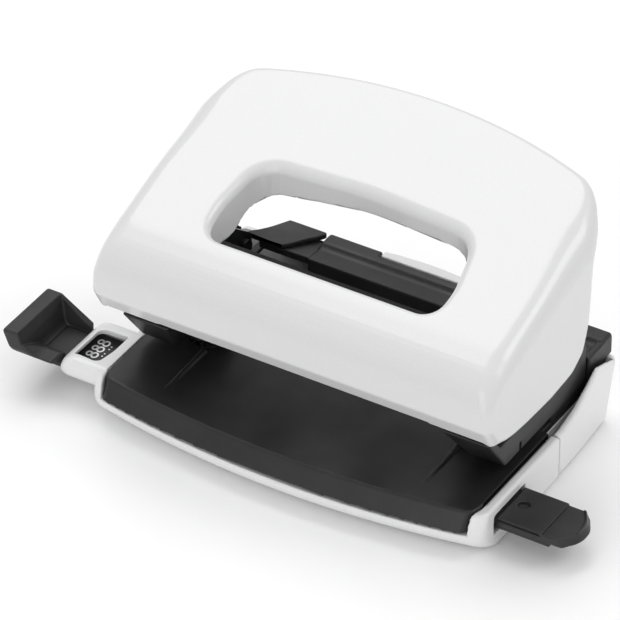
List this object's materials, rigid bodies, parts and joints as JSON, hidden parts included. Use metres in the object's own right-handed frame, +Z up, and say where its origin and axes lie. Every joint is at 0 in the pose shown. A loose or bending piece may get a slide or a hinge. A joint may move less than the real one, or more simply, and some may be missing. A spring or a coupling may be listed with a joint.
{
  "type": "two-hole punch",
  "caption": "Lever-handled desk punch for two holes, with a sliding format bar, a paper tray, a chip drawer and a handle lock.",
  "frame": {"origin": "on the table, midway between the two punching axes, so the pins stand at X = -40 mm and +40 mm, Y = 0", "axes": "+Z up, +X to the user's right along the punching line, +Y away from the user, towards the paper stop and the hinge"},
  "size_m": [0.1636, 0.0814, 0.076],
  "materials": {
    "white_plastic": "gloss white moulded plastic",
    "handle_white": "pearl white gloss moulding",
    "black_plastic": "satin, finely grained",
    "bar_plastic": "satin",
    "scale_print": "black strip with white print",
    "mat_rubber": "matt, ribbed",
    "hard_steel": "ground",
    "sheet_steel": "zinc-plated sheet",
    "spring_steel": "bright wire",
    "screw_steel": "zinc plated"
  },
  "bodies": {
    "base": {"base_shell": "white_plastic", "tray_plate": "black_plastic", "base_mat": "mat_rubber", "die_left": "hard_steel", "die_right": "hard_steel", "window_housing": "white_plastic", "detent_spring": "spring_steel", "pivot_pin_left": "hard_steel", "pivot_pin_right": "hard_steel", "axle_clips": "spring_steel", "frame_screws": "screw_steel", "rear_deck": "black_plastic", "head_block_left": "black_plastic", "head_block_right": "black_plastic", "side_frame_left": "sheet_steel", "side_frame_right": "sheet_steel", "return_spring_left": "spring_steel", "return_spring_right": "spring_steel"},
    "format_bar": {"guide_bar": "bar_plastic", "format_scale": "scale_print", "paper_stop": "bar_plastic", "bar_end_cap": "bar_plastic"},
    "drawer": {"chip_drawer": "white_plastic"},
    "lever": {"handle_shell": "handle_white", "lever_frame": "sheet_steel", "handle_screws": "screw_steel"},
    "pin_left": {"punch_pin_left": "hard_steel", "spring_cap_left": "spring_steel"},
    "pin_right": {"punch_pin_right": "hard_steel", "spring_cap_right": "spring_steel"},
    "lock": {"handle_lock": "black_plastic"}
  },
  "joints": [
    {"name": "handle_hinge", "type": "hinge", "parent": "base", "child": "lever", "pos_m": [0, 0.026, 0.0235], "axis": [1, 0, 0], "range_deg": [0, 14.3], "stiffness_Nm_per_rad": 1.2, "springref_deg": -11.46},
    {"name": "pin_left_slide", "type": "slide", "parent": "base", "child": "pin_left", "axis": [0, 0, -1], "range_m": [0, 0.0065], "deforming": ["return_spring_left"]},
    {"name": "pin_right_slide", "type": "slide", "parent": "base", "child": "pin_right", "axis": [0, 0, -1], "range_m": [0, 0.0065], "deforming": ["return_spring_right"]},
    {"name": "format_bar_slide", "type": "slide", "parent": "base", "child": "format_bar", "axis": [-1, 0, 0], "range_m": [0, 0.08]},
    {"name": "drawer_slide", "type": "slide", "parent": "base", "child": "drawer", "axis": [0, 1, 0], "range_m": [0, 0.04]},
    {"name": "lock_slide", "type": "slide", "parent": "base", "child": "lock", "axis": [-1, 0, 0], "range_m": [0, 0.006]}
  ],
  "couplings": [
    {"joint": "pin_left_slide", "follows": "handle_hinge", "m_per_rad": 0.026},
    {"joint": "pin_right_slide", "follows": "handle_hinge", "m_per_rad": 0.026}
  ]
}
